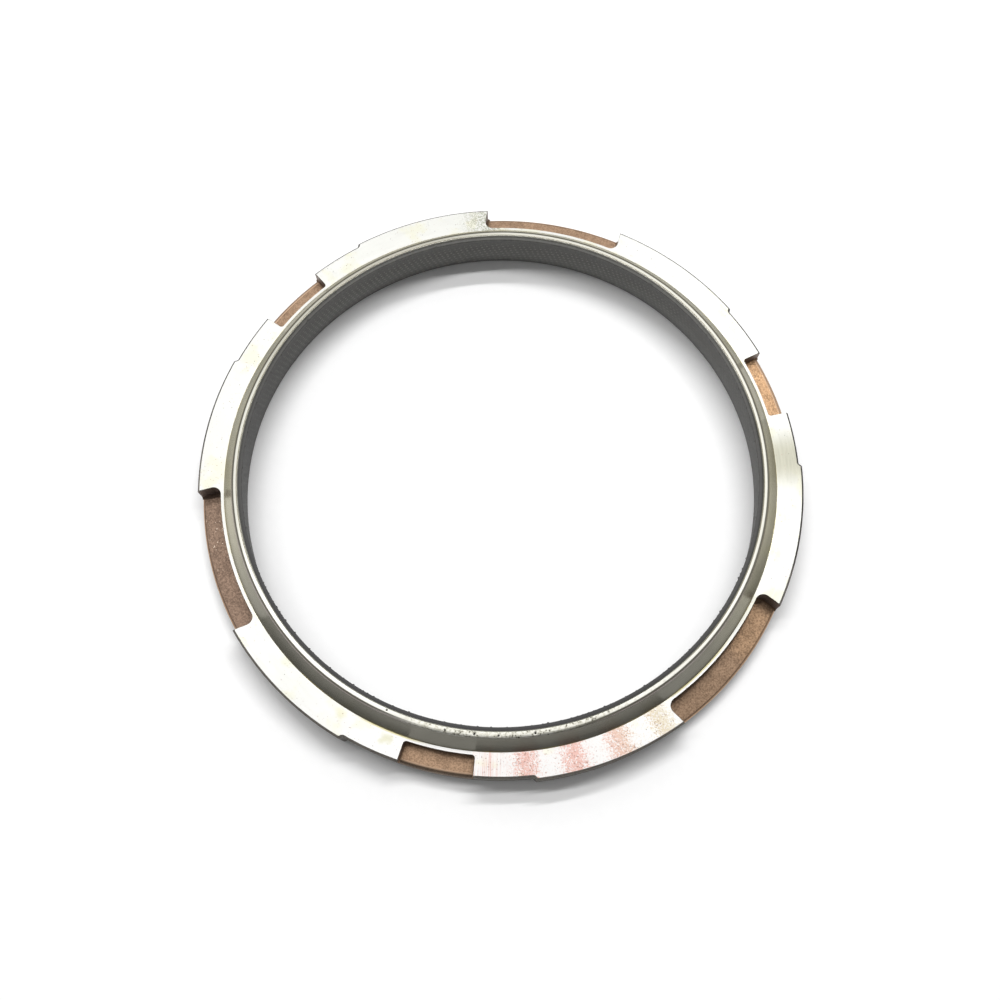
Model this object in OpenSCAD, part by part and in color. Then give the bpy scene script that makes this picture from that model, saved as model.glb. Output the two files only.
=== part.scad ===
// Synchronizer ring for a gearbox: a steel ring with a conical bore that is lined with woven carbon fabric.
// The origin is on the ring's axis at its seat face, and +Z runs up the axis to the crest of the collar.
// A wide pocket is centred on +Y. Wide and narrow pockets take turns around the flange.

/* [Flange] */
// Diameter over the long arcs of the lugs
outer_d = 150; // [130:1:190]
// Height from the seat face to the lug face
flange_h = 9.6; // [7.5:0.1:14]
// Radial width of the lug face, from the long arcs to the foot of the collar
lug_w = 6.65; // [5.5:0.05:9]
// Chamfer on the outer edges of the lugs and the seat face
edge_chamfer = 0.55; // [0.2:0.05:0.9]

/* [Short arcs] */
// Radial step from the long arcs down to the short arcs beside the narrow pockets
arc_step = 0.78; // [0.3:0.02:1.2]
// Angle that one pair of short arcs covers, with the narrow pocket between them, in degrees
short_arc_span = 35.4; // [28:0.2:45]

/* [Collar] */
// Height of the collar above the lug face
collar_h = 4; // [2.5:0.1:6]
// Slope of the collar's outer wall, measured from the axis, in degrees
collar_slope = 36; // [20:1:45]
// Width of the bevel between the outer wall and the crest
bevel_w = 0.6; // [0.2:0.05:1]
// Height of that bevel
bevel_h = 0.35; // [0.1:0.05:0.8]
// Width of the flat crest
crest_w = 0.85; // [0.5:0.05:2]
// Chamfer between the crest and the bore
bore_chamfer = 0.25; // [0.1:0.05:0.6]

/* [Friction lining] */
// Half angle of the friction cone, in degrees
cone_angle = 7; // [5:0.25:9]
// Thickness of the bonded fabric
lining_t = 0.85; // [0.4:0.05:1.5]
// Depth of the fabric's upper edge below the crest
lining_top_gap = 0.4; // [0.3:0.05:1.5]
// Height of the fabric's lower edge above the seat face
lining_foot_gap = 0.2; // [0.1:0.05:1.5]

/* [Pockets] */
// Width of the thin rim left between a pocket and the collar
rim_w = 0.86; // [0.5:0.02:1.5]

/* [Wide pockets] */
// Angle across the mouth of a wide pocket, in degrees
wide_span = 28.3; // [22:0.1:36]
// Angle by which each end wall opens from the pocket's centre line, in degrees
wide_flare = 3; // [0:0.5:10]
// Depth below the lug face
wide_depth = 4.9; // [3:0.1:6]
// Radius of the two inner corners
wide_corner_r = 1.9; // [1.2:0.1:2.2]
// Radius where the walls meet the floor
wide_floor_r = 0.8; // [0.3:0.05:1]
// Radius of the rounded outer edge of the floor
wide_lip_r = 0.7; // [0.3:0.05:1]

/* [Narrow pockets] */
// Angle across the mouth of a narrow pocket, in degrees
narrow_span = 13.65; // [10:0.05:18]
// Depth below the lug face
narrow_depth = 3.4; // [2:0.1:6]
// Radius of the two inner corners
narrow_corner_r = 0.7; // [0.6:0.05:1.5]
// Radius where the walls meet the floor
narrow_floor_r = 0.45; // [0.2:0.05:0.5]
// Radius of the rounded outer edge of the floor
narrow_lip_r = 1.15; // [0.3:0.05:1.5]

/* [Hidden] */

$fn = 240;
// Flats that stand for each rounded corner, each wall around the collar, each wall foot and each outer lip
corner_steps = 8;
wall_steps = 24;
foot_steps = 4;
lip_steps = 4;
pocket_sets = 3;
set_angle = 360 / pocket_sets;
// Room that a cut runs past the face it opens
past = 1;

// Radii of the flange and collar, from the outside in
long_r = outer_d / 2;
short_r = long_r - arc_step;
collar_foot_r = long_r - lug_w;
bevel_foot_r = collar_foot_r - (collar_h - bevel_h) * tan(collar_slope);
crest_outer_r = bevel_foot_r - bevel_w;
crest_inner_r = crest_outer_r - crest_w;
pocket_inner_r = collar_foot_r + rim_w;

// Heights above the seat face
crest_z = flange_h + collar_h;
bevel_foot_z = crest_z - bevel_h;
bore_mouth_z = crest_z - bore_chamfer;
lining_top_z = crest_z - lining_top_gap;

// Conical bore of the steel, and the face of the fabric that is bonded to it
bore_mouth_r = crest_inner_r - bore_chamfer;
lining_radial_t = lining_t / cos(cone_angle);
function bore_r(z) = bore_mouth_r + (bore_mouth_z - z) * tan(cone_angle);
function lining_r(z) = bore_r(z) - lining_radial_t;

// Section of the turned blank: flange, collar and conical bore
module blank_section() {
    polygon([
        [bore_r(0), 0],
        [long_r - edge_chamfer, 0],
        [long_r, edge_chamfer],
        [long_r, flange_h - edge_chamfer],
        [long_r - edge_chamfer, flange_h],
        [collar_foot_r, flange_h],
        [bevel_foot_r, bevel_foot_z],
        [crest_outer_r, crest_z],
        [crest_inner_r, crest_z],
        [bore_mouth_r, bore_mouth_z]
    ]);
}

// Section of the relief outside a short arc, with the flange's chamfers carried on to it
module relief_section() {
    polygon([
        [short_r - edge_chamfer - past, -past],
        [short_r, edge_chamfer],
        [short_r, flange_h - edge_chamfer],
        [short_r - edge_chamfer - past, flange_h + past],
        [long_r + past, flange_h + past],
        [long_r + past, -past]
    ]);
}

// Relief of one pair of short arcs, centred on +Y
module short_arc_relief() {
    rotate([0, 0, 90 - short_arc_span / 2])
        rotate_extrude(angle = short_arc_span) relief_section();
}

// Right-hand end wall of a pocket that is centred on +Y: it passes the axis at the distance wall_d
// and leans outwards by the angle flare. This is a point beside it, inset into the pocket.
function wall_point(wall_d, flare, inset, along) =
    (wall_d + inset) * [-cos(flare), sin(flare)] + along * [sin(flare), cos(flare)];
// How far along that wall a line at the same inset crosses the circle of radius r
function along_at(wall_d, inset, r) = sqrt(r * r - (wall_d + inset) * (wall_d + inset));
function polar(r, a) = r * [cos(a), sin(a)];

// Outline of a pocket, inset all round, from the middle of the mouth past two rounded corners and the wall
// around the collar. Every point of it is in sight from its first one.
function pocket_outline(wall_d, flare, corner_r, inset) =
    let (
        path_r = pocket_inner_r + corner_r,
        reach = along_at(wall_d, corner_r, path_r),
        turn = wall_point(wall_d, flare, corner_r, reach),
        turn_angle = atan2(turn.y, turn.x),
        mouth = wall_point(wall_d, flare, inset, reach + lug_w + 2 * past),
        corner = [for (i = [0 : corner_steps])
            turn + polar(corner_r - inset, -flare - i / corner_steps * (180 - turn_angle - flare))],
        wall = [for (i = [1 : wall_steps - 1])
            polar(pocket_inner_r + inset, turn_angle + i / wall_steps * (180 - 2 * turn_angle))]
    )
    concat(
        [[0, mouth.y], mouth],
        corner,
        wall,
        [for (i = [corner_steps : -1 : 0]) [-corner[i].x, corner[i].y]],
        [[-mouth.x, mouth.y]]
    );

// Solid of a pocket: its outline lofted from the floor through the rounded foot of the walls to above the lugs
module pocket_cutter(wall_d, flare, depth, corner_r, floor_r) {
    floor_z = flange_h - depth;
    foot = [for (i = [0 : foot_steps])
        [floor_r * (1 - sin(90 * i / foot_steps)), floor_z + floor_r * (1 - cos(90 * i / foot_steps))]];
    levels = concat(foot, [[0, flange_h + past]]);
    count = len(pocket_outline(wall_d, flare, corner_r, 0));
    points = [for (level = levels)
        for (p = pocket_outline(wall_d, flare, corner_r, level[0])) [p.x, p.y, level[1]]];
    sides = [for (k = [0 : len(levels) - 2])
        for (i = [0 : count - 1])
            let (j = (i + 1) % count)
            [k * count + i, k * count + j, (k + 1) * count + j, (k + 1) * count + i]];
    bottom = [for (i = [count : -1 : 1]) i % count];
    top = [for (i = [0 : count - 1]) (len(levels) - 1) * count + i];
    polyhedron(points, concat([bottom, top], sides));
}

// What rounds over the outer edge of a floor at the radius r and height z. Its first and last flats run on
// past the floor and the wall.
module lip_section(r, z, lip_r) {
    arc = [for (i = [0 : lip_steps]) [r - lip_r, z - lip_r] + polar(lip_r, 90 - 90 * i / lip_steps)];
    first = 3 * arc[0] - 2 * arc[1];
    last = 2 * arc[lip_steps] - arc[lip_steps - 1];
    polygon(concat(
        [[r + past, first.y], first],
        [for (i = [1 : lip_steps - 1]) arc[i]],
        [last, [r + past, last.y]]
    ));
}

// One pocket centred on +Y, its mouth spanning an angle at the radius mouth_r, in a flange of radius edge_r
module pocket(span, flare, depth, corner_r, floor_r, lip_r, mouth_r, edge_r) {
    mouth = mouth_r * [sin(span / 2), cos(span / 2)];
    wall_d = mouth.y * sin(flare) - mouth.x * cos(flare);
    floor_z = flange_h - depth;
    pocket_cutter(wall_d, flare, depth, corner_r, floor_r);
    // Rounded outer edge of the floor, from the rounded foot of one end wall to that of the other
    lip_inset = floor_r * 0.6;
    near = wall_point(wall_d, flare, lip_inset, mouth_r - 2 * lip_r - past);
    far = wall_point(wall_d, flare, lip_inset, mouth_r + lug_w);
    intersection() {
        rotate_extrude() lip_section(edge_r, floor_z, lip_r);
        translate([0, 0, floor_z - lip_r - past])
            linear_extrude(lip_r + 2 * past)
                polygon([near, far, [-far.x, far.y], [-near.x, near.y]]);
    }
}

module ring_body() {
    color([0.80, 0.79, 0.76])
        difference() {
            rotate_extrude() blank_section();
            for (i = [0 : pocket_sets - 1]) {
                rotate([0, 0, (i + 0.5) * set_angle]) {
                    short_arc_relief();
                    pocket(narrow_span, narrow_span / 2, narrow_depth, narrow_corner_r, narrow_floor_r,
                           narrow_lip_r, short_r - edge_chamfer, short_r);
                }
                rotate([0, 0, i * set_angle])
                    pocket(wide_span, wide_flare, wide_depth, wide_corner_r, wide_floor_r,
                           wide_lip_r, long_r - edge_chamfer, long_r);
            }
        }
}

module friction_lining() {
    color([0.20, 0.20, 0.20])
        rotate_extrude()
            polygon([
                [lining_r(lining_foot_gap), lining_foot_gap],
                [bore_r(lining_foot_gap), lining_foot_gap],
                [bore_r(lining_top_z), lining_top_z],
                [lining_r(lining_top_z), lining_top_z]
            ]);
}

ring_body();
friction_lining();
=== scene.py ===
# %% [markdown]
# # A synchronizer ring
# The object is a steel ring from a gearbox. Its flange has lugs and milled pockets, a collar stands on top
# of it, and its conical bore is lined with woven carbon cloth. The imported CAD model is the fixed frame: it
# gives the size and place of everything here. This lesson remakes its two pieces with the fine shape and
# finish that a camera sees.

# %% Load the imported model
import math
import random

import bmesh
import bpy
from mathutils import Matrix, Vector


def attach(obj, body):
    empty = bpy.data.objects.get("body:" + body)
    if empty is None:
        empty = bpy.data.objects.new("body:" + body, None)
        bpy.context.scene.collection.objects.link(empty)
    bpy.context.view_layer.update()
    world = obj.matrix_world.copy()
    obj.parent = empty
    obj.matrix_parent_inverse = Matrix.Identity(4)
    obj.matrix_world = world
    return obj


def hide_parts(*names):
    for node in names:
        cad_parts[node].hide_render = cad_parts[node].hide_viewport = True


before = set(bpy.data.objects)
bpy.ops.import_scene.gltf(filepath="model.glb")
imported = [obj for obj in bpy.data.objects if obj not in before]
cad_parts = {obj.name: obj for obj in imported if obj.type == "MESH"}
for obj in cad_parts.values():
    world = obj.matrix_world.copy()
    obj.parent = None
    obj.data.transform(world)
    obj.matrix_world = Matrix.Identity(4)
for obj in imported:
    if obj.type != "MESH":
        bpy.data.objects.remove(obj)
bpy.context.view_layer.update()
MM = 0.001
print("nodes:", sorted(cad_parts))

# %% [markdown]
# The sizes below are those of the CAD model, in millimetres, measured from the axis and from the seat
# face. Keeping the maker's own names for them, such as crest and collar, makes the later cells easier to
# follow.

# %% Sizes of the ring
LONG_R = 75.0
SHORT_R = 74.22
SHORT_ARC_HALF = math.radians(17.7)
FLANGE_H = 9.6
EDGE_CHAMFER = 0.55
COLLAR_FOOT_R = 68.35
BEVEL_FOOT_R = 65.698
BEVEL_FOOT_Z = 13.25
CREST_OUTER_R = 65.098
CREST_INNER_R = 64.248
CREST_Z = 13.6
BORE_MOUTH_R = 63.998
BORE_MOUTH_Z = 13.35
CONE_ANGLE = math.radians(7)
CONE_SLOPE = math.tan(CONE_ANGLE)
POCKET_INNER_R = 69.21
LINING_TOP_Z = 13.2
LINING_FOOT_Z = 0.2
LINING_T = 0.85 / math.cos(CONE_ANGLE)
SETS = 3


def bore_r(z):
    return BORE_MOUTH_R + (BORE_MOUTH_Z - z) * CONE_SLOPE


print("ring:", 2 * LONG_R, "mm across,", CREST_Z, "mm high, bore", round(2 * bore_r(0), 2), "mm at its foot")

# %% [markdown]
# ## Camera
# The photograph was taken from above the near edge of the ring, with the camera turned a little. Its
# ellipses fix where the camera stood, how it was turned and how long its lens was, so the camera is placed
# by its own three axes and not aimed by eye. Pixels were counted from their middles, so the frame is
# shifted by half a pixel to agree.

# %% Camera
IMAGE_PIXELS = 1000
CAMERA_PLACE = Vector((18.75, -81.90, 240.3))
camera_data = bpy.data.cameras.new("photo_camera")
camera_data.sensor_width = 36.0
camera_data.lens = 35.6
camera_data.shift_x = -0.5 / IMAGE_PIXELS
camera_data.shift_y = 0.5 / IMAGE_PIXELS
camera_data.clip_start = 0.01
camera_data.clip_end = 20.0
camera = bpy.data.objects.new("photo_camera", camera_data)
bpy.context.scene.collection.objects.link(camera)
camera_right = Vector((0.97978, 0.19995, -0.00805))
camera_up = Vector((-0.18753, 0.93148, 0.31173))
camera_back = camera_right.cross(camera_up).normalized()
camera_up = camera_back.cross(camera_right).normalized()
camera_turn = Matrix((camera_right, camera_up, camera_back)).transposed().to_4x4()
camera.matrix_world = Matrix.Translation(CAMERA_PLACE * MM) @ camera_turn
bpy.context.scene.camera = camera
print("camera looks along", tuple(round(v, 3) for v in -camera_back))

# %% [markdown]
# ## Node helpers
# Every finish and every node tree below is built from small sums on coordinates. These helpers add a node,
# set its sockets from values or links, and return its result, so that a formula reads like a formula.


# %% Node helpers
def add_node(tree, kind, *values, **settings):
    node = tree.nodes.new(kind)
    named = settings.pop("named", {})
    for key, value in settings.items():
        setattr(node, key, value)
    for key, value in list(enumerate(values)) + list(named.items()):
        if value is None:
            continue
        if isinstance(value, bpy.types.NodeSocket):
            tree.links.new(value, node.inputs[key])
        else:
            node.inputs[key].default_value = value
    return node


def calc(tree, operation, a, b=None, c=None):
    return add_node(tree, "ShaderNodeMath", a, b, c, operation=operation).outputs[0]


def times(tree, a, b):
    return calc(tree, "MULTIPLY", a, b)


def vector(tree, x=0.0, y=0.0, z=0.0):
    return add_node(tree, "ShaderNodeCombineXYZ", x, y, z).outputs[0]


def vector_calc(tree, operation, *vectors, **named):
    """A sum on vectors, which gives a number for a length, a distance or a dot product."""
    node = add_node(tree, "ShaderNodeVectorMath", *vectors, operation=operation, named=named)
    is_number = operation in ("LENGTH", "DISTANCE", "DOT_PRODUCT")
    return node.outputs["Value" if is_number else "Vector"]


# %% [markdown]
# ## The steel blank
# A lathe makes the ring first, so the blank is one profile turned about the axis. The profile is a list of
# corners, and each corner is broken by a small round as a machinist breaks a sharp edge. Each stretch of
# the profile remembers which finish it will get, in a face attribute that lives through all later cuts.

# %% Profile of the blank
FINISHES = ["ground_face", "turned_collar", "bright_crest", "bore_edge", "milled_floor", "milled_wall",
            "dark_rim", "dark_edge", "dark_pit", "narrow_lip"]
FINISH = {name: k for k, name in enumerate(FINISHES)}
RIM_BREAK = 0.09
LUG_BREAK = 0.06
COLLAR_FILLET = 0.15
CREST_BREAK = 0.05
BORE_BREAK = 0.06
SHOULDER_FOOT = (BEVEL_FOOT_R - 0.07, BEVEL_FOOT_Z + 0.2)
SHOULDER_TOP = (BEVEL_FOOT_R - 0.27, CREST_Z - 0.05)

BLANK_CORNERS = [
    (bore_r(0), 0.0, RIM_BREAK, "ground_face"),
    (LONG_R - EDGE_CHAMFER, 0.0, RIM_BREAK, "dark_rim"),
    (LONG_R, EDGE_CHAMFER, RIM_BREAK, "dark_rim"),
    (LONG_R, FLANGE_H - EDGE_CHAMFER, RIM_BREAK, "dark_edge"),
    (LONG_R - EDGE_CHAMFER, FLANGE_H, LUG_BREAK, "ground_face"),
    (COLLAR_FOOT_R, FLANGE_H, COLLAR_FILLET, "turned_collar"),
    (BEVEL_FOOT_R, BEVEL_FOOT_Z, CREST_BREAK, "bright_crest"),
    (*SHOULDER_FOOT, CREST_BREAK, "bright_crest"),
    (*SHOULDER_TOP, CREST_BREAK, "bright_crest"),
    (CREST_OUTER_R, CREST_Z, CREST_BREAK, "bright_crest"),
    (CREST_INNER_R, CREST_Z, BORE_BREAK, "bore_edge"),
    (BORE_MOUTH_R, BORE_MOUTH_Z, BORE_BREAK, "bore_edge"),
]


def rounded_profile(corners, steps=3):
    """Points (r, z, finish of the stretch that follows) with every corner of the loop rounded."""
    points = []
    for k, (r, z, radius, finish) in enumerate(corners):
        here = Vector((r, z))
        before = (Vector(corners[k - 1][:2]) - here).normalized()
        after = (Vector(corners[(k + 1) % len(corners)][:2]) - here).normalized()
        half = before.angle(after) / 2
        reach = radius / math.tan(half)
        start = here + before * reach
        end = here + after * reach
        for i in range(steps + 1):
            t = i / steps
            bent = start * (1 - t) ** 2 + here * (2 * t * (1 - t)) + end * t ** 2
            points.append((bent.x, bent.y, finish))
    return points


blank_profile = rounded_profile(BLANK_CORNERS)
print("profile of the blank:", len(blank_profile), "points")

# %% [markdown]
# Turning copies the profile to many angles and joins neighbours with faces. The mesh is built with bmesh,
# because each face can then be told its finish as it is made.

# %% Turn the blank
FULL_TURN = 2 * math.pi
TURN_STEPS = 720


def finish_layer(bm):
    return bm.faces.layers.int.get("finish") or bm.faces.layers.int.new("finish")


def vertex(bm, x, y, z):
    """A vertex at a place in millimetres."""
    return bm.verts.new((x * MM, y * MM, z * MM))


def new_object(name, bm, clean=True):
    if clean:
        bmesh.ops.recalc_face_normals(bm, faces=bm.faces)
    mesh = bpy.data.meshes.new(name)
    bm.to_mesh(mesh)
    bm.free()
    made = bpy.data.objects.new(name, mesh)
    bpy.context.scene.collection.objects.link(made)
    return made


def turned(name, profile, start=0.0, sweep=FULL_TURN, steps=TURN_STEPS):
    """A closed profile turned about Z, with flat ends where it doesn't go all the way round."""
    bm = bmesh.new()
    layer = finish_layer(bm)
    whole = sweep >= FULL_TURN
    rings = []
    for i in range(steps if whole else steps + 1):
        a = start + sweep * i / steps
        rings.append([vertex(bm, r * math.cos(a), r * math.sin(a), z) for r, z, _ in profile])
    for i in range(steps):
        one, two = rings[i], rings[(i + 1) % len(rings)]
        for j in range(len(profile)):
            k = (j + 1) % len(profile)
            face = bm.faces.new((one[j], two[j], two[k], one[k]))
            face[layer] = FINISH[profile[j][2]]
    if not whole:
        for ring, step in ((rings[0], 1), (rings[-1], -1)):
            face = bm.faces.new(ring[::step])
            face[layer] = FINISH["milled_wall"]
    return new_object(name, bm)


blank = turned("steel_ring", blank_profile)
print("blank:", len(blank.data.polygons), "faces")

# %% [markdown]
# ## Cutters for the pockets and reliefs
# A milling cutter leaves a rounded foot along each wall, rounded inner corners and a broken upper edge.
# One loft gives all three: the pocket's outline is drawn at several heights, inset near the floor and
# flared at the top.

# %% Outline of a pocket
CORNER_STEPS = 10
WALL_STEPS = 40
POCKET_REACH = 8.7


def wall_point(wall_d, flare, inset, along):
    x = -(wall_d + inset) * math.cos(flare) + along * math.sin(flare)
    y = (wall_d + inset) * math.sin(flare) + along * math.cos(flare)
    return Vector((x, y))


def polar(r, a):
    return Vector((r * math.cos(a), r * math.sin(a)))


def pocket_outline(wall_d, flare, corner_r, inset):
    """Outline of a pocket centred on +Y, from the middle of its mouth clockwise."""
    path_r = POCKET_INNER_R + corner_r
    reach = math.sqrt(path_r ** 2 - (wall_d + corner_r) ** 2)
    centre = wall_point(wall_d, flare, corner_r, reach)
    centre_angle = math.atan2(centre.y, centre.x)
    mouth = wall_point(wall_d, flare, inset, reach + POCKET_REACH)
    sweep = math.pi - centre_angle - flare
    corner = []
    for i in range(CORNER_STEPS + 1):
        corner.append(centre + polar(corner_r - inset, -flare - sweep * i / CORNER_STEPS))
    span = math.pi - 2 * centre_angle
    wall = []
    for i in range(1, WALL_STEPS):
        wall.append(polar(POCKET_INNER_R + inset, centre_angle + span * i / WALL_STEPS))
    left = [Vector((-p.x, p.y)) for p in reversed(corner)]
    return [Vector((0, mouth.y)), mouth] + corner + wall + left + [Vector((-mouth.x, mouth.y))]


# %% [markdown]
# The loft joins outlines of equal length, one above the other. Near the floor the inset follows a quarter
# circle, which is the foot, and above the lug face the outline is flared, so that the cut breaks the upper
# edge.

# %% Pocket cutters
PAST = 1.0
FOOT_STEPS = 6
UPPER_EDGE = ((0.14, 0.0), (0.02, -0.07), (-PAST, -0.5))


def lofted(name, levels, finishes):
    """A closed solid through outlines of equal length, given as (points, z), with a finish for each band."""
    bm = bmesh.new()
    layer = finish_layer(bm)
    rings = [[vertex(bm, p.x, p.y, z) for p in points] for points, z in levels]
    bottom = bm.faces.new(rings[0])
    bottom[layer] = FINISH[finishes[0]]
    bm.faces.new(rings[-1][::-1])
    for k in range(len(rings) - 1):
        for i in range(len(rings[0])):
            j = (i + 1) % len(rings[0])
            face = bm.faces.new((rings[k][i], rings[k + 1][i], rings[k + 1][j], rings[k][j]))
            face[layer] = FINISH[finishes[k + 1]]
    return new_object(name, bm)


def pocket_cutter(name, span, flare, depth, corner_r, floor_r, mouth_r):
    mouth = Vector((math.sin(span / 2), math.cos(span / 2))) * mouth_r
    wall_d = mouth.y * math.sin(flare) - mouth.x * math.cos(flare)
    floor_z = FLANGE_H - depth
    levels, finishes = [], ["milled_floor"]
    for i in range(FOOT_STEPS + 1):
        a = math.pi / 2 * i / FOOT_STEPS
        outline = pocket_outline(wall_d, flare, corner_r, floor_r * (1 - math.sin(a)))
        levels.append((outline, floor_z + floor_r * (1 - math.cos(a))))
        finishes.append("milled_floor" if i < FOOT_STEPS - 1 else "milled_wall")
    for drop, inset in UPPER_EDGE:
        levels.append((pocket_outline(wall_d, flare, corner_r, inset), FLANGE_H - drop))
        finishes.append("dark_edge")
    return lofted(name, levels, finishes)


WIDE_SPAN = math.radians(28.3)
WIDE_FLARE = math.radians(3)
WIDE_DEPTH = 4.9
WIDE_CORNER_R = 1.9
WIDE_FOOT_R = 0.8
NARROW_SPAN = math.radians(13.65)
NARROW_DEPTH = 3.4
NARROW_CORNER_R = 0.7
NARROW_FOOT_R = 0.45
wide_cutter = pocket_cutter("wide_cutter", WIDE_SPAN, WIDE_FLARE, WIDE_DEPTH, WIDE_CORNER_R, WIDE_FOOT_R,
                            LONG_R - EDGE_CHAMFER)
narrow_cutter = pocket_cutter("narrow_cutter", NARROW_SPAN, NARROW_SPAN / 2, NARROW_DEPTH, NARROW_CORNER_R,
                              NARROW_FOOT_R, SHORT_R - EDGE_CHAMFER)
print("pocket cutters:", len(wide_cutter.data.polygons), len(narrow_cutter.data.polygons), "faces")

# %% [markdown]
# The short arcs beside the narrow pockets are turned down a little further than the long ones. Their
# relief is lofted too, with a small S-curve at each end where the tool ran out, and flared above and below
# to carry the chamfers on.

# %% Relief cutter
RUN_OUT_L = 0.9
RUN_OUT_SHARE = 0.9
RUN_OUT_TAIL = 0.4
RUN_OUT_STEPS = 8
RELIEF_REACH = 4.0
ARC_STEPS = 48


def relief_outline(grow):
    """Outline of the relief centred on +Y, grown all round, from its left run-out to its right and back."""
    half_length = SHORT_R * SHORT_ARC_HALF
    step = LONG_R - SHORT_R
    run_out = []
    for i in range(RUN_OUT_STEPS + 1):
        t = RUN_OUT_SHARE * i / RUN_OUT_STEPS
        lean = math.atan2(step * 6 * (t - t * t), RUN_OUT_L)
        along = half_length + RUN_OUT_L * (t - 0.5) + grow * math.sin(lean)
        run_out.append((along, step * (3 * t * t - 2 * t ** 3) - grow * math.cos(lean)))
    along, out = run_out[-1]
    run_out.append((along + RUN_OUT_TAIL * math.cos(lean), out + RUN_OUT_TAIL * math.sin(lean)))
    run_out.append((run_out[-1][0], RELIEF_REACH))
    floor_end = run_out[0][0]
    floor = [(floor_end * (2 * i / ARC_STEPS - 1), -grow) for i in range(1, ARC_STEPS)]
    outside = [(run_out[-1][0] * (1 - 2 * i / ARC_STEPS), RELIEF_REACH) for i in range(1, ARC_STEPS)]
    loop = [(-a, b) for a, b in reversed(run_out)] + floor + run_out + outside
    return [polar(SHORT_R + out, math.pi / 2 - along / SHORT_R) for along, out in loop]


relief_levels = [
    (relief_outline(EDGE_CHAMFER + PAST), -PAST),
    (relief_outline(0), EDGE_CHAMFER),
    (relief_outline(0), FLANGE_H - EDGE_CHAMFER),
    (relief_outline(EDGE_CHAMFER + PAST), FLANGE_H + PAST),
]
relief_cutter = lofted("relief_cutter", relief_levels, ["dark_rim"] * 3 + ["dark_edge"])
print("relief cutter:", len(relief_cutter.data.polygons), "faces")

# %% [markdown]
# The rounded outer lip of each pocket floor is a thin turned piece, a little shorter than the pocket so
# that it stays clear of the end walls. A cutter with a volume below zero would be inside out, so each one
# is measured.

# %% Lip cutters
LIP_STEPS = 6
LIP_TURN_STEPS = 60
WIDE_LIP_R = 0.7
WIDE_LIP_HALF = WIDE_SPAN / 2 - 0.0065
NARROW_LIP_R = 1.15
NARROW_LIP_HALF = NARROW_SPAN / 2 - 0.0037


def lip_cutter(name, half_angle, edge_r, floor_z, lip_r, finish):
    arc = []
    for i in range(LIP_STEPS + 1):
        a = math.pi / 2 * i / LIP_STEPS
        arc.append((edge_r - lip_r + lip_r * math.sin(a), floor_z - lip_r + lip_r * math.cos(a)))
    first = Vector(arc[0]) + (Vector(arc[0]) - Vector(arc[1])) * 2
    last = Vector(arc[-1]) + (Vector(arc[-1]) - Vector(arc[-2]))
    outside = [(edge_r + PAST, last.y), (edge_r + PAST, first.y)]
    outline = outside + [(first.x, first.y)] + arc[1:-1] + [(last.x, last.y)]
    profile = [(r, z, finish) for r, z in outline]
    return turned(name, profile, math.pi / 2 - half_angle, 2 * half_angle, LIP_TURN_STEPS)


def volume(piece):
    """Volume of a closed mesh in cubic millimetres, below zero where its faces point inwards."""
    bm = bmesh.new()
    bm.from_mesh(piece.data)
    amount = bm.calc_volume(signed=True) / MM ** 3
    bm.free()
    return round(amount, 2)


wide_lip = lip_cutter("wide_lip", WIDE_LIP_HALF, LONG_R, FLANGE_H - WIDE_DEPTH, WIDE_LIP_R, "milled_floor")
narrow_lip = lip_cutter("narrow_lip", NARROW_LIP_HALF, SHORT_R, FLANGE_H - NARROW_DEPTH, NARROW_LIP_R,
                        "narrow_lip")
for cutter in (wide_cutter, narrow_cutter, relief_cutter, wide_lip, narrow_lip):
    print(cutter.name, "volume in mm3:", volume(cutter))

# %% [markdown]
# The photograph shows a few black pits in the crest near the camera. Each one is a small lump that is cut
# out too: two low cones, base to base, with an uneven outline. Finer pits are scattered over the lug faces
# by chance, clear of the pockets and of each other.

# %% Pit cutters
CREST_PITS = ((270.6, 65.0, 0.26), (276.5, 64.9, 0.34), (281.3, 65.0, 0.28), (288.6, 64.95, 0.3),
              (258.3, 64.6, 0.24))
CREST_PIT_DEPTH = 0.12
LUG_PITS = 100
LUG_PIT_R = (69.5, 73.3)
LUG_PIT_SIZE = (0.04, 0.11)
LUG_PIT_DEPTH = 0.05
LUG_PIT_GAP = 0.4
LUG_DEGREES = (15.5, 52)


def add_pit(bm, luck, degrees, r, z, size, depth, sides=7):
    layer = finish_layer(bm)
    middle = polar(r, math.radians(degrees))
    ring = []
    for k in range(sides):
        edge = middle + polar(size * luck.uniform(0.65, 1.2), 2 * math.pi * k / sides)
        ring.append(vertex(bm, edge.x, edge.y, z))
    for height in (depth, -depth):
        tip = vertex(bm, middle.x, middle.y, z + height)
        for k in range(sides):
            m = (k + 1) % sides
            face = bm.faces.new((ring[k], ring[m], tip) if height > 0 else (ring[m], ring[k], tip))
            face[layer] = FINISH["dark_pit"]


bm = bmesh.new()
luck = random.Random(21)
for degrees, r, size in CREST_PITS:
    add_pit(bm, luck, degrees, r, CREST_Z, size, CREST_PIT_DEPTH)
taken = []
while len(taken) < LUG_PITS:
    degrees = luck.uniform(0, 360)
    place = polar(luck.uniform(*LUG_PIT_R), math.radians(degrees))
    from_wide = abs((degrees - 30) % 120 - 60)
    on_lug = LUG_DEGREES[0] < from_wide < LUG_DEGREES[1]
    if on_lug and all((place - other).length > LUG_PIT_GAP for other in taken):
        taken.append(place)
        add_pit(bm, luck, degrees, place.length, FLANGE_H, luck.uniform(*LUG_PIT_SIZE), LUG_PIT_DEPTH)
pits = new_object("pits", bm)
print("pits:", len(pits.data.polygons), "faces, volume in mm3:", volume(pits))

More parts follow.
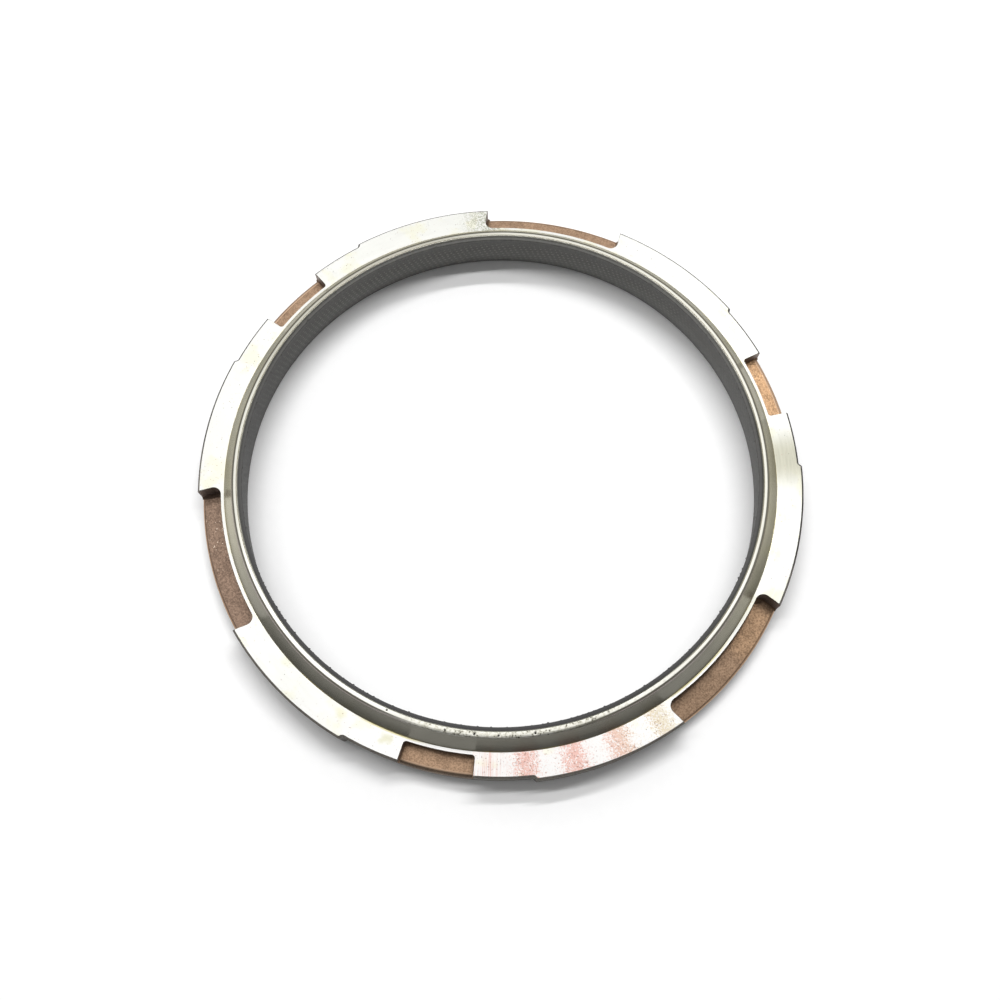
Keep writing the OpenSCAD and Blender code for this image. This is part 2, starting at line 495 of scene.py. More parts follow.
# %% [markdown]
# ## Finishes of the steel
# Bare steel is nearly all reflection, so its finish is a matter of roughness, of the direction of the tool
# marks and of a little colour. Each finish is built on the ring's own coordinates: the angle round the
# axis, the radius and the height. Marks that run round the ring then vary with radius and height only, and
# marks that run across it vary with the angle only. The angle goes in as its cosine and sine, so that no
# pattern has a seam.


# %% A new finish and its coordinates
def new_finish(name, roughness, metallic=1.0, **sockets):
    material = bpy.data.materials.new(name)
    material.use_nodes = True
    shader = material.node_tree.nodes["Principled BSDF"]
    shader.inputs["Roughness"].default_value = roughness
    shader.inputs["Metallic"].default_value = metallic
    for socket, value in sockets.items():
        shader.inputs[socket.replace("_", " ")].default_value = value
    return material, material.node_tree, shader


def ring_coordinates(tree):
    """The place on the ring in millimetres, and the angle round it: turn runs from 0 to 360 degrees."""
    place = add_node(tree, "ShaderNodeTexCoord").outputs["Object"]
    scaled = vector_calc(tree, "MULTIPLY", place, (1000, 1000, 1000))
    x, y, z = add_node(tree, "ShaderNodeSeparateXYZ", scaled).outputs
    flat = vector(tree, x, y)
    r = vector_calc(tree, "LENGTH", flat)
    cos = calc(tree, "DIVIDE", x, r)
    sin = calc(tree, "DIVIDE", y, r)
    degrees = times(tree, calc(tree, "ARCTAN2", y, x), 180 / math.pi)
    return {"place": scaled, "flat": flat, "z": z, "r": r, "cos": cos, "sin": sin,
            "outwards": vector(tree, cos, sin), "degrees": degrees,
            "turn": calc(tree, "WRAP", degrees, 360.0, 0.0)}


# %% [markdown]
# A finish is then a stack of patterns. Noise gives grain, marks and clouds, a remap turns a stretch of
# values into a share from 0 to 1, and a blend uses that share to lay one colour over another.


# %% Patterns and blends
def noise(tree, place, scale=1.0, detail=2.0, roughness=0.5):
    return add_node(tree, "ShaderNodeTexNoise", place,
                    named={"Scale": scale, "Detail": detail, "Roughness": roughness}).outputs["Fac"]


def across_marks(tree, at, per_turn, along=0.1):
    """Marks that run across the ring, about per_turn of them round it."""
    k = per_turn / (2 * math.pi)
    place = vector(tree, times(tree, at["cos"], k), times(tree, at["sin"], k), times(tree, at["r"], along))
    return noise(tree, place)


def round_marks(tree, at, per_mm, wander=3.0):
    """Marks that run round the ring, about per_mm of them to the millimetre."""
    height = times(tree, calc(tree, "SUBTRACT", at["z"], at["r"]), per_mm)
    return noise(tree, vector(tree, height, times(tree, at["cos"], wander), times(tree, at["sin"], wander)))


def remap(tree, value, low, high, to_low=0.0, to_high=1.0, kind="SMOOTHSTEP"):
    node = add_node(tree, "ShaderNodeMapRange", value, low, high, to_low, to_high, interpolation_type=kind)
    return node.outputs[0]


def between(tree, value, start, full, fade, end):
    """A share that rises from start to full, stays, and falls from fade to end."""
    return times(tree, remap(tree, value, start, full), remap(tree, value, end, fade))


def away_from(tree, value, middle):
    return calc(tree, "ABSOLUTE", calc(tree, "SUBTRACT", value, middle))


def mixed(tree, a, b, share):
    """A share of one pattern and the rest of another."""
    return calc(tree, "ADD", times(tree, a, share), times(tree, b, 1 - share))


def blend(tree, factor, a, b):
    node = add_node(tree, "ShaderNodeMix", factor, data_type="RGBA")
    for index, colour in ((6, a), (7, b)):
        if isinstance(colour, bpy.types.NodeSocket):
            tree.links.new(colour, node.inputs[index])
        else:
            node.inputs[index].default_value = (*colour, 1)
    return node.outputs[2]


def shaded(tree, at, colour, shades):
    """Painted light and shade laid over a colour, each growing from one value of a ring coordinate to
    another.
    """
    for part, none, full, amount, tone in shades:
        colour = blend(tree, remap(tree, at[part], none, full, 0.0, amount), colour, tone)
    return colour


def bump(tree, shader, height, strength, depth_mm):
    bumped = add_node(tree, "ShaderNodeBump", named={"Strength": strength, "Distance": depth_mm * MM,
                                                     "Height": height}).outputs[0]
    tree.links.new(bumped, shader.inputs["Normal"])


steel = {}

# %% [markdown]
# The lug faces and the thin rims are ground. On one stretch they carry faint pink bands, turning yellow
# towards their end. A cosine of the angle gives the bands, and adding a coarse grain to it before the
# remap breaks them up into specks. Fine streaks run across the ring where the bands start.

# %% Pink bands on the lugs
BAND_MIDDLE = 286.3
BAND_PERIOD = 8.85
PINK = (0.45, 0.285, 0.25)
YELLOW = (0.39, 0.345, 0.25)


def pink_bands(tree, at, grain):
    """Strength and colour of the tinted bands."""
    phase = times(tree, calc(tree, "SUBTRACT", at["turn"], BAND_MIDDLE), 2 * math.pi / BAND_PERIOD)
    wave = calc(tree, "COSINE", phase)
    ragged = calc(tree, "MULTIPLY_ADD", calc(tree, "SUBTRACT", grain, 0.5), 6.0, wave)
    bands = times(tree, remap(tree, ragged, -0.5, 1.1), between(tree, at["turn"], 277.0, 285.0, 310.0, 321.0))
    marks = remap(tree, across_marks(tree, at, 1500), 0.44, 0.66, 0.0, 0.8)
    streaks = times(tree, marks, between(tree, at["turn"], 276.0, 277.5, 280.0, 284.0))
    colour = blend(tree, remap(tree, at["turn"], 297.0, 315.0), PINK, YELLOW)
    return calc(tree, "MAXIMUM", bands, streaks), colour


# %% [markdown]
# One stretch of the lugs is darker, and painted shade dims another with grainy specks. A gold line follows
# the collar's foot in two places, and two pale yellow stains have outlines that noise makes uneven.

# %% Worn places and painted shade of the lugs
STAINS = ((-23.9, -66.0, 2.4), (-12.4, -69.4, 2.2))


def worn_and_shaded_lugs(tree, at, colour, grain, upper):
    """A colour with worn places, a darker stretch and painted shade over it, on the upper side of the ring
    only.
    """
    # A darker stretch of the lugs at the right.
    darker_stretch = between(tree, at["turn"], 5.0, 12.5, 15.0, 22.0)
    colour = blend(tree, times(tree, darker_stretch, upper), colour, (0.232, 0.228, 0.187))
    # Painted shade: a grainy grey-green dimming of the lugs on the far side.
    painted_speckled_shade = between(tree, at["turn"], 98.0, 103.0, 105.0, 112.0)
    painted_speckled_shade = times(tree, painted_speckled_shade, remap(tree, grain, 0.44, 0.56))
    colour = blend(tree, times(tree, painted_speckled_shade, upper), colour, (0.20, 0.203, 0.165))
    left = between(tree, at["turn"], 251.0, 257.0, 263.0, 269.0)
    right = between(tree, at["turn"], 313.0, 320.0, 328.0, 336.0)
    gold = times(tree, calc(tree, "MAXIMUM", left, right), remap(tree, at["r"], 68.85, 68.55))
    colour = blend(tree, times(tree, gold, upper), colour, (0.37, 0.34, 0.20))
    blots = calc(tree, "SUBTRACT", noise(tree, at["place"], 0.5, 3.0), 0.5)
    for x, y, size in STAINS:
        away = vector_calc(tree, "DISTANCE", at["flat"], (x, y, 0.0))
        away = calc(tree, "MULTIPLY_ADD", blots, 5.0, away)
        stain = times(tree, remap(tree, away, size, 0.0, 0.0, 0.8), upper)
        colour = blend(tree, stain, colour, (0.40, 0.39, 0.29))
    return colour


# %% [markdown]
# The grinding marks run round the ring and smear reflections across it, so the shader is anisotropic with
# its tangent along the radius. A painted highlight makes the steel brighter near the camera than elsewhere.
# It has faintly yellow patches, and a few dark specks lie on it, most of them in the tinted bands.


# %% Ground face
def ground_face():
    material, tree, shader = new_finish("ground_face", 0.4, Anisotropic=0.7)
    at = ring_coordinates(tree)
    tree.links.new(at["outwards"], shader.inputs["Tangent"])
    marks = round_marks(tree, at, 5.0, 14.0)
    grain = noise(tree, at["place"], 3.6, 1.0)
    specks = noise(tree, at["place"], 2.2, 1.0)
    patches = noise(tree, at["place"], 0.16, 3.0)
    upper = remap(tree, at["z"], 5.0, 8.0)
    bright = blend(tree, marks, (0.47, 0.466, 0.459), (0.515, 0.511, 0.502))
    bright = blend(tree, remap(tree, patches, 0.58, 0.68, 0.0, 0.55), bright, (0.49, 0.485, 0.375))
    plain = blend(tree, marks, (0.35, 0.35, 0.332), (0.39, 0.39, 0.373))
    plain = blend(tree, remap(tree, patches, 0.52, 0.64, 0.0, 0.7), plain, (0.365, 0.36, 0.29))
    # Painted highlight: the lugs near the camera take the brighter colour.
    colour = blend(tree, between(tree, at["turn"], 232.0, 266.0, 322.0, 340.0), plain, bright)
    colour = worn_and_shaded_lugs(tree, at, colour, grain, upper)
    tint, tint_colour = pink_bands(tree, at, grain)
    tint = times(tree, tint, upper)
    colour = blend(tree, tint, colour, tint_colour)
    more = calc(tree, "MULTIPLY_ADD", tint, 0.12, remap(tree, patches, 0.45, 0.62, 0.0, 0.04))
    dark = remap(tree, calc(tree, "ADD", specks, more), 0.71, 0.78)
    colour = blend(tree, times(tree, dark, 0.65), colour, (0.19, 0.13, 0.11))
    tree.links.new(colour, shader.inputs["Base Color"])
    tree.links.new(remap(tree, marks, 0.3, 0.7, 0.40, 0.48, "LINEAR"), shader.inputs["Roughness"])
    bump(tree, shader, grain, 0.12, 0.01)
    return material


steel["ground_face"] = ground_face()
print("ground face:", len(steel["ground_face"].node_tree.nodes), "nodes")

# %% [markdown]
# The collar was turned and left smooth. Its marks run round the ring, so reflections smear up and down the
# wall: the tangent points along the axis. The steel is a shade darker than the ground faces, with painted
# shade near the camera and olive elsewhere. Painted reflections make it lighter at the left and right, and
# it is golden in places along its foot.


# %% Turned collar
def turned_collar():
    material, tree, shader = new_finish("turned_collar", 0.27, Anisotropic=0.8)
    at = ring_coordinates(tree)
    tree.links.new(vector(tree, 0.0, 0.0, 1.0), shader.inputs["Tangent"])
    marks = round_marks(tree, at, 9.0)
    clouds = noise(tree, at["place"], 0.12, 3.0)
    shade = mixed(tree, marks, clouds, 0.5)
    share = remap(tree, shade, 0.3, 0.7)
    colour = blend(tree, share, (0.185, 0.178, 0.15), (0.24, 0.232, 0.197))
    olive = blend(tree, share, (0.265, 0.25, 0.185), (0.35, 0.333, 0.255))
    # Painted shade: the collar keeps its darker colour near the camera and turns olive elsewhere.
    colour = blend(tree, remap(tree, at["sin"], -0.7, -0.2), colour, olive)
    # Painted reflections make the collar lighter at the left and right.
    left = between(tree, at["turn"], 165.0, 180.0, 195.0, 235.0)
    right = between(tree, at["degrees"], -22.0, 0.0, 15.0, 23.0)
    painted_side_reflection = times(tree, calc(tree, "MAXIMUM", left, right), remap(tree, shade, 0.2, 0.8, 0.7, 1.0))
    colour = blend(tree, painted_side_reflection, colour, (0.52, 0.49, 0.375))
    foot = remap(tree, at["z"], FLANGE_H + 0.36, FLANGE_H + 0.05)
    gold = times(tree, foot, remap(tree, clouds, 0.45, 0.6, 0.15, 0.7))
    colour = blend(tree, gold, colour, (0.50, 0.43, 0.22))
    tree.links.new(colour, shader.inputs["Base Color"])
    bump(tree, shader, marks, 0.25, 0.004)
    return material


steel["turned_collar"] = turned_collar()
print("turned collar:", len(steel["turned_collar"].node_tree.nodes), "nodes")

# %% [markdown]
# The crest caught handling. Near the camera it is mottled, with dark specks, under a painted highlight, and
# painted highlights make both sides of that stretch paler. Farther round it is calm, and painted shade dims
# it at the far left.


# %% Steel of the crest
def crest_steel(tree, at, mottle):
    worn = remap(tree, noise(tree, at["place"], 0.09, 2.0), 0.4, 0.62)
    specks = remap(tree, calc(tree, "MULTIPLY_ADD", worn, 0.05, mottle), 0.62, 0.68)
    spotted = blend(tree, remap(tree, mottle, 0.42, 0.6), (0.43, 0.424, 0.385), (0.31, 0.302, 0.255))
    spotted = blend(tree, specks, spotted, (0.06, 0.055, 0.045))
    calm = blend(tree, mottle, (0.285, 0.28, 0.25), (0.33, 0.324, 0.29))
    # Painted highlight: the spotted colour near the camera is the brighter one.
    colour = blend(tree, between(tree, at["turn"], 256.0, 266.0, 308.0, 326.0), calm, spotted)
    # Painted shade at the far left.
    painted_dim = between(tree, at["turn"], 98.0, 116.0, 160.0, 178.0)
    colour = blend(tree, times(tree, painted_dim, 0.6), colour, (0.17, 0.165, 0.135))
    # Painted highlights on both sides of the stretch near the camera.
    left = between(tree, at["turn"], 203.0, 220.0, 257.0, 267.0)
    right = times(tree, between(tree, at["turn"], 298.0, 312.0, 340.0, 356.0), 0.6)
    return blend(tree, calc(tree, "MAXIMUM", left, right), colour, (0.44, 0.432, 0.40))


# %% [markdown]
# Lines run along the crest: a groove darkened by painted shade and a painted pale reflection on its
# shoulder, all round but for the spotted stretch near the camera, and painted shade along its inner edge
# except on the near side. Outside the lit stretch near the camera, painted shade also darkens the shoulder.
# They are functions of the radius. The edge of the bore was turned as well. Painted shade makes it darker
# on the right, and painted light makes it lighter on the far side.

# %% Crest and bore edge
GROOVE_R = 65.23
PALE_LINE_R = 65.6
INNER_LINE = (64.22, 64.28, 64.40, 64.52)


def bright_crest():
    material, tree, shader = new_finish("bright_crest", 0.46, Anisotropic=0.5)
    at = ring_coordinates(tree)
    tree.links.new(at["outwards"], shader.inputs["Tangent"])
    mottle = noise(tree, at["place"], 1.6, 3.0, 0.65)
    colour = crest_steel(tree, at, mottle)
    # Painted shade darkens the shoulder outside the lit stretch near the camera.
    lit = between(tree, at["turn"], 250.0, 264.0, 286.0, 304.0)
    painted_shoulder_shade = times(tree, remap(tree, at["r"], 65.12, 65.24), calc(tree, "SUBTRACT", 1.0, lit))
    colour = blend(tree, painted_shoulder_shade, colour, (0.15, 0.145, 0.115))
    # Painted shade along the inner edge, left off near the camera.
    far_off = remap(tree, at["sin"], -0.75, -0.5, 0.0, 0.95)
    inner = times(tree, between(tree, at["r"], *INNER_LINE), far_off)
    colour = blend(tree, inner, colour, (0.085, 0.075, 0.05))
    # A groove darkened by painted shade, and a painted pale reflection on the shoulder, both left off near
    # the camera.
    reach = calc(tree, "SUBTRACT", 1.0, between(tree, at["turn"], 257.0, 267.0, 296.0, 308.0))
    groove_and_shade = times(tree, remap(tree, away_from(tree, at["r"], GROOVE_R), 0.22, 0.12), reach)
    colour = blend(tree, times(tree, groove_and_shade, 0.85), colour, (0.06, 0.055, 0.045))
    line = times(tree, remap(tree, away_from(tree, at["r"], PALE_LINE_R), 0.14, 0.06), reach)
    line_colour = blend(tree, remap(tree, at["sin"], -0.6, 0.0), (0.50, 0.44, 0.42), (0.30, 0.275, 0.19))
    colour = blend(tree, line, colour, line_colour)
    tree.links.new(colour, shader.inputs["Base Color"])
    bump(tree, shader, calc(tree, "SUBTRACT", times(tree, mottle, 0.3), groove_and_shade), 0.3, 0.02)
    return material


def bore_edge():
    material, tree, shader = new_finish("bore_edge", 0.38)
    at = ring_coordinates(tree)
    marks = round_marks(tree, at, 12.0)
    colour = blend(tree, marks, (0.30, 0.297, 0.255), (0.42, 0.415, 0.365))
    # Painted shade darkens the bore edge on the right, and painted light brightens it on the far side.
    colour = shaded(tree, at, colour, (("cos", 0.0, 0.7, 1.0, (0.155, 0.152, 0.13)),
                                       ("sin", 0.3, 0.85, 1.0, (0.74, 0.73, 0.655))))
    tree.links.new(colour, shader.inputs["Base Color"])
    bump(tree, shader, marks, 0.3, 0.004)
    return material


steel["bright_crest"] = bright_crest()
steel["bore_edge"] = bore_edge()
print("crest:", len(steel["bright_crest"].node_tree.nodes), "nodes")

# %% [markdown]
# The pockets were milled before the ring was hardened, and were never ground again: they keep a matt
# copper-brown skin. It is granular, so its colour and its bump come from the same noise at about a third
# of a millimetre. One function makes all such skins. A tone changes the colour round one angle, painted
# edge light makes an edge paler over some height, and scuffs are pale marks round one angle.


# %% A brown skin
FADE_DEGREES = 4


def near_angle(tree, at, degrees, half, amount=1.0):
    """The amount within half an angle of a place round the ring, fading to nothing just outside it."""
    toward = vector(tree, math.cos(math.radians(degrees)), math.sin(math.radians(degrees)), 0.0)
    facing = vector_calc(tree, "DOT_PRODUCT", at["outwards"], toward)
    gone = math.cos(math.radians(half + FADE_DEGREES))
    return remap(tree, facing, gone, math.cos(math.radians(half)), 0.0, amount)


def brown_skin(name, dark, light, roughness, metallic, grain_mm, tones=(), painted_edge_light=(), scuffs=()):
    """A rough granular skin, with tones as (degrees, half, amount, spread, colour).

    Painted edge light is given as (low, high, gain) and scuffs as (degrees, half).
    """
    material, tree, shader = new_finish(name, roughness, metallic, Specular_IOR_Level=0.2)
    at = ring_coordinates(tree)
    grain = noise(tree, at["place"], 1.0 / grain_mm, 2.0, 0.6)
    clouds = noise(tree, at["place"], 0.3, 2.0)
    share = remap(tree, mixed(tree, grain, clouds, 0.7), 0.32, 0.68)
    colour = blend(tree, share, dark, light)
    for degrees, half, amount, spread, tone in tones:
        toned = blend(tree, share, [(1 - spread) * c for c in tone], [(1 + spread) * c for c in tone])
        colour = blend(tree, near_angle(tree, at, degrees, half, amount), colour, toned)
    for degrees, half in scuffs:
        scuffed = remap(tree, noise(tree, at["place"], 1.5, 1.0), 0.68, 0.74, 0.0, 0.7)
        scuffed = times(tree, scuffed, near_angle(tree, at, degrees, half))
        colour = blend(tree, scuffed, colour, (0.55, 0.45, 0.36))
    # Painted edge light: a paler band over some height.
    for low, high, gain in painted_edge_light:
        colour = blend(tree, remap(tree, at["z"], low, high, 0.0, 0.8), colour, [gain * c for c in light])
    tree.links.new(colour, shader.inputs["Base Color"])
    tree.links.new(remap(tree, grain, 0.3, 0.7, roughness + 0.1, roughness - 0.08, "LINEAR"),
                   shader.inputs["Roughness"])
    bump(tree, shader, grain, 0.6, 0.05)
    return material


# %% [markdown]
# The six pockets differ in tone: the narrow one near the camera is lighter, the narrow one at the right
# carries a painted golden glint, and the others are darker. Painted highlights make the outer lips a little
# paler along their edges, and the narrow lips also carry painted shade near the camera and a painted golden
# glint at the right. The outer rim has the same skin, only darker and greyer, painted shade makes its upper
# edge nearly black on the far side, and the pits are black.

# %% Skins of pockets, rim and pits
POCKET_TONES_AND_GLINT = (
    # Painted golden glint on the narrow pocket at the right.
    (30, 9, 0.55, 0.35, (0.37, 0.225, 0.115)),
    (270, 9, 0.4, 0.35, (0.29, 0.19, 0.12)),
    (210, 18, 0.75, 0.2, (0.12, 0.083, 0.064)),
    (330, 18, 0.4, 0.35, (0.10, 0.068, 0.045)),
    (338, 3, 0.4, 0.4, (0.25, 0.155, 0.085)),
    (120, 50, 0.3, 0.35, (0.12, 0.082, 0.058)),
)
# Painted shade on the narrow lip near the camera, and a painted golden glint on the one at the right.
LIP_SHADE_AND_GLINT = ((270, 20, 0.8, 0.35, (0.11, 0.082, 0.06)), (30, 9, 0.8, 0.35, (0.46, 0.30, 0.185)))
# Painted shade on the upper outer edge on the far side.
FAR_EDGE_SHADE = ((90, 96, 0.8, 0.35, (0.02, 0.017, 0.015)),)
RIM_SKIN = ((0.095, 0.086, 0.075), (0.18, 0.165, 0.145), 0.55, 0.2, 0.3)
skins = [
    brown_skin("milled_floor", (0.165, 0.105, 0.066), (0.27, 0.178, 0.115), 0.44, 0.7, 0.35,
               tones=POCKET_TONES_AND_GLINT, painted_edge_light=((4.69, 4.5, 2.4),), scuffs=((206, 3),)),
    brown_skin("milled_wall", (0.17, 0.13, 0.11), (0.28, 0.22, 0.19), 0.45, 0.7, 0.3),
    brown_skin("narrow_lip", (0.20, 0.135, 0.09), (0.32, 0.22, 0.15), 0.44, 0.6, 0.3,
               tones=LIP_SHADE_AND_GLINT, painted_edge_light=((6.08, 6.17, 1.5), (5.32, 5.12, 1.5))),
    brown_skin("dark_rim", *RIM_SKIN),
    brown_skin("dark_edge", *RIM_SKIN, tones=FAR_EDGE_SHADE),
    brown_skin("dark_pit", (0.018, 0.016, 0.014), (0.05, 0.045, 0.04), 0.7, 0.0, 0.2),
]
for skin in skins:
    steel[skin.name] = skin
print("finishes:", sorted(steel))

# %% [markdown]
# ## Cutting the ring
# The pockets come in sets around the flange, so Geometry Nodes turns one copy of each cutter to every set
# and takes them all from the blank. A tree is run by a modifier, whose inputs are set by their
# identifiers. Its result then becomes the object's plain mesh, and the modifier goes.


# %% Geometry Nodes helpers
def new_tree(name, inputs):
    tree = bpy.data.node_groups.new(name, "GeometryNodeTree")
    tree.interface.new_socket("Geometry", in_out="INPUT", socket_type="NodeSocketGeometry")
    for label, kind in inputs:
        tree.interface.new_socket(label, in_out="INPUT", socket_type=kind)
    tree.interface.new_socket("Geometry", in_out="OUTPUT", socket_type="NodeSocketGeometry")
    return tree, tree.nodes.new("NodeGroupInput"), tree.nodes.new("NodeGroupOutput")


def shape_of(tree, socket):
    """The geometry of an object that is an input of the tree."""
    return add_node(tree, "GeometryNodeObjectInfo", socket).outputs["Geometry"]


def run_tree(owner, tree, values):
    """Runs a tree on an object, and leaves the object with the result as its plain mesh."""
    modifier = owner.modifiers.new(tree.name, "NODES")
    modifier.node_group = tree
    for item in tree.interface.items_tree:
        if item.in_out == "INPUT" and item.name in values:
            modifier[item.identifier] = values[item.name]
    evaluated = owner.evaluated_get(bpy.context.evaluated_depsgraph_get())
    mesh = bpy.data.meshes.new_from_object(evaluated)
    owner.modifiers.remove(modifier)
    owner.data = mesh
    return owner


# %% [markdown]
# The wide pockets start at +Y, and what belongs to the narrow ones is half a step further round. At the
# end the finish attribute picks the material of every face.

# %% Geometry Nodes: cut the ring
CUTTERS = {"Wide pocket": (wide_cutter, 0.0), "Narrow pocket": (narrow_cutter, 0.5),
           "Relief": (relief_cutter, 0.5), "Wide lip": (wide_lip, 0.0), "Narrow lip": (narrow_lip, 0.5)}
cut_tree, cut_in, cut_out = new_tree("cut_ring", [("Sets", "NodeSocketInt")]
                                     + [(name, "NodeSocketObject") for name in [*CUTTERS, "Pits"]])
turn_step = calc(cut_tree, "DIVIDE", 2 * math.pi, cut_in.outputs["Sets"])
set_index = cut_tree.nodes.new("GeometryNodeInputIndex").outputs[0]
set_points = add_node(cut_tree, "GeometryNodePoints", cut_in.outputs["Sets"]).outputs[0]
cut = add_node(cut_tree, "GeometryNodeMeshBoolean", cut_in.outputs["Geometry"], operation="DIFFERENCE",
               solver="MANIFOLD")
for name, (cutter, offset) in CUTTERS.items():
    angle = times(cut_tree, calc(cut_tree, "ADD", set_index, offset), turn_step)
    copies = add_node(cut_tree, "GeometryNodeInstanceOnPoints", set_points,
                      named={"Instance": shape_of(cut_tree, cut_in.outputs[name]),
                             "Rotation": vector(cut_tree, 0, 0, angle)}).outputs[0]
    solid = add_node(cut_tree, "GeometryNodeRealizeInstances", copies).outputs[0]
    cut_tree.links.new(solid, cut.inputs[1])
cut_tree.links.new(shape_of(cut_tree, cut_in.outputs["Pits"]), cut.inputs[1])
result = add_node(cut_tree, "GeometryNodeRealizeInstances", cut.outputs[0]).outputs[0]
stored = add_node(cut_tree, "GeometryNodeInputNamedAttribute", "finish", data_type="INT").outputs["Attribute"]
for name, number in FINISH.items():
    chosen = add_node(cut_tree, "FunctionNodeCompare", data_type="INT", operation="EQUAL",
                      named={"A": stored, "B": number}).outputs[0]
    result = add_node(cut_tree, "GeometryNodeSetMaterial", result, chosen, steel[name]).outputs[0]
cut_tree.links.new(result, cut_out.inputs[0])
print("cutting tree:", len(cut_tree.nodes), "nodes")

# %% [markdown]
# Flat faces should look flat right up to their small rounds. Smooth shading with normals weighted by face
# area does that, with sharp edges kept where two faces meet at a larger angle.

# %% Cut and shade the ring
RING_SHARP = math.radians(35)
blank.data.materials.append(steel["ground_face"])
ring_values = {"Sets": SETS, "Pits": pits}
ring_values.update({name: cutter for name, (cutter, _) in CUTTERS.items()})
ring = run_tree(blank, cut_tree, ring_values)
for cutter in (wide_cutter, narrow_cutter, relief_cutter, wide_lip, narrow_lip, pits):
    bpy.data.objects.remove(cutter)
ring.data.shade_smooth()
ring.data.set_sharp_from_angle(angle=RING_SHARP)
weighted = ring.modifiers.new("flat_faces", "WEIGHTED_NORMAL")
weighted.keep_sharp = True
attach(ring, "root")
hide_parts("ring_body")
faces_of = {m.name: 0 for m in ring.data.materials}
for face in ring.data.polygons:
    faces_of[ring.data.materials[face.material_index].name] += 1
print("ring:", len(ring.data.polygons), "faces,", faces_of)

# %% [markdown]
# ## The woven lining
# The friction lining is a band of carbon cloth, bonded to the conical bore. Its yarns pass over and under
# each other, and where a yarn comes to the top it shows as a small oval crown. A bump would vanish at the
# edge of the band, so the crowns are real: one small closed shape, set by Geometry Nodes on every crossing
# of the weave. The band below them is turned like the blank. It is thinner than the lining by a crown's
# height at its foot, and thickens towards its upper edge.

# %% The band under the weave
CROWN_H = 0.15
BAND_STEPS = 360
TOP_OVERHANG = 0.06


def lining_r(z):
    return bore_r(z) - LINING_T


BAND_CORNERS = [
    (lining_r(LINING_FOOT_Z) + CROWN_H, LINING_FOOT_Z, 0.08, "band"),
    (bore_r(LINING_FOOT_Z), LINING_FOOT_Z, 0.04, "band"),
    (bore_r(LINING_TOP_Z), LINING_TOP_Z, 0.04, "band"),
    (lining_r(LINING_TOP_Z) - TOP_OVERHANG, LINING_TOP_Z, 0.12, "band"),
]
FINISH["band"] = len(FINISH)
band = turned("woven_lining", rounded_profile(BAND_CORNERS), steps=BAND_STEPS)
print("band:", len(band.data.polygons), "faces")

# %% [markdown]
# A crown is a low arch of yarn: highest in the middle, sinking at both ends where it dives under the next
# yarn. Its map coordinates run along and across the yarn, so the fibres can be drawn along it later.

# %% One crown of a yarn
CROWN_L = 1.42
CROWN_W = 1.0
CROWN_ROOT = 0.06
CROWN_RISE = 0.05


def yarn_crown(name, length, width, height, steps_along=5, steps_across=4):
    bm = bmesh.new()
    finish_layer(bm)
    uv = bm.loops.layers.uv.new("yarn")
    rows = []
    for i in range(steps_along + 1):
        u = 2 * i / steps_along - 1
        row = []
        for j in range(steps_across + 1):
            v = 2 * j / steps_across - 1
            arch = height * math.cos(u * math.pi / 2) ** 0.8 * (1 - abs(v) ** 2.4)
            row.append(vertex(bm, u * length / 2, v * width / 2 * (1 - 0.28 * u * u), arch - CROWN_ROOT))
        rows.append(row)
    for i in range(steps_along):
        for j in range(steps_across):
            corners = ((i, j), (i + 1, j), (i + 1, j + 1), (i, j + 1))
            face = bm.faces.new([rows[a][b] for a, b in corners])
            for loop, (a, b) in zip(face.loops, corners):
                loop[uv].uv = (a / steps_along, b / steps_across)
    edge = rows[0] + [row[-1] for row in rows[1:-1]] + rows[-1][::-1] + [row[0] for row in rows[-2:0:-1]]
    bm.faces.new(edge)
    return new_object(name, bm)


crown = yarn_crown("crown", CROWN_L, CROWN_W, CROWN_ROOT + CROWN_H + CROWN_RISE)
print("crown:", len(crown.data.polygons), "faces")

# %% [markdown]
# Along the upper edge of the band the yarns were cut. The end of one is a short stub with a ragged domed
# tip.

# %% One cut end of a yarn
STUB_W = 0.62
STUB_L = 0.34
STUB_LEVELS = ((-0.5, 0.85), (0.35, 1.0), (0.8, 0.8), (1.0, 0.35))


def yarn_end(name, width, length, sides=7):
    bm = bmesh.new()
    finish_layer(bm)
    bm.loops.layers.uv.new("yarn")
    luck = random.Random(4)
    rings = []
    for z, wide in STUB_LEVELS:
        ring = []
        for k in range(sides):
            a = 2 * math.pi * k / sides
            r = width / 2 * wide * luck.uniform(0.85, 1.15)
            height = length * (z + luck.uniform(-0.06, 0.06))
            ring.append(vertex(bm, r * math.cos(a), r * math.sin(a), height))
        rings.append(ring)
    bm.faces.new(rings[0][::-1])
    bm.faces.new(rings[-1])
    for one, two in zip(rings, rings[1:]):
        for k in range(sides):
            m = (k + 1) % sides
            bm.faces.new((one[k], one[m], two[m], two[k]))
    return new_object(name, bm)


stub = yarn_end("stub", STUB_W, STUB_L)
print("stub:", len(stub.data.polygons), "faces")

# %% [markdown]
# Carbon yarn is dark grey, with a dull gloss along its fibres, and the resin in the gaps between the
# crowns is nearly black. Both get painted light that makes them paler towards the foot of the band, and
# painted shade that makes them darker at its upper edge, at the sides and near the camera, so one kind of
# table serves both. The middle of each crown gets a painted highlight.

# %% Carbon cloth and resin
# Painted light towards the foot, and painted shade at the upper edge, at the sides and near the camera.
CLOTH_PAINTED_LIGHT = (
    ("z", 9.0, 1.0, 0.55, (0.26, 0.257, 0.25)),
    ("z", 12.8, 13.0, 0.6, (0.04, 0.039, 0.034)),
    ("sin", 0.75, -0.1, 0.72, (0.035, 0.034, 0.033)),
    ("cos", 0.1, 0.9, 0.35, (0.035, 0.034, 0.033)),
    ("sin", -0.2, -0.7, 0.6, (0.015, 0.014, 0.015)),
)
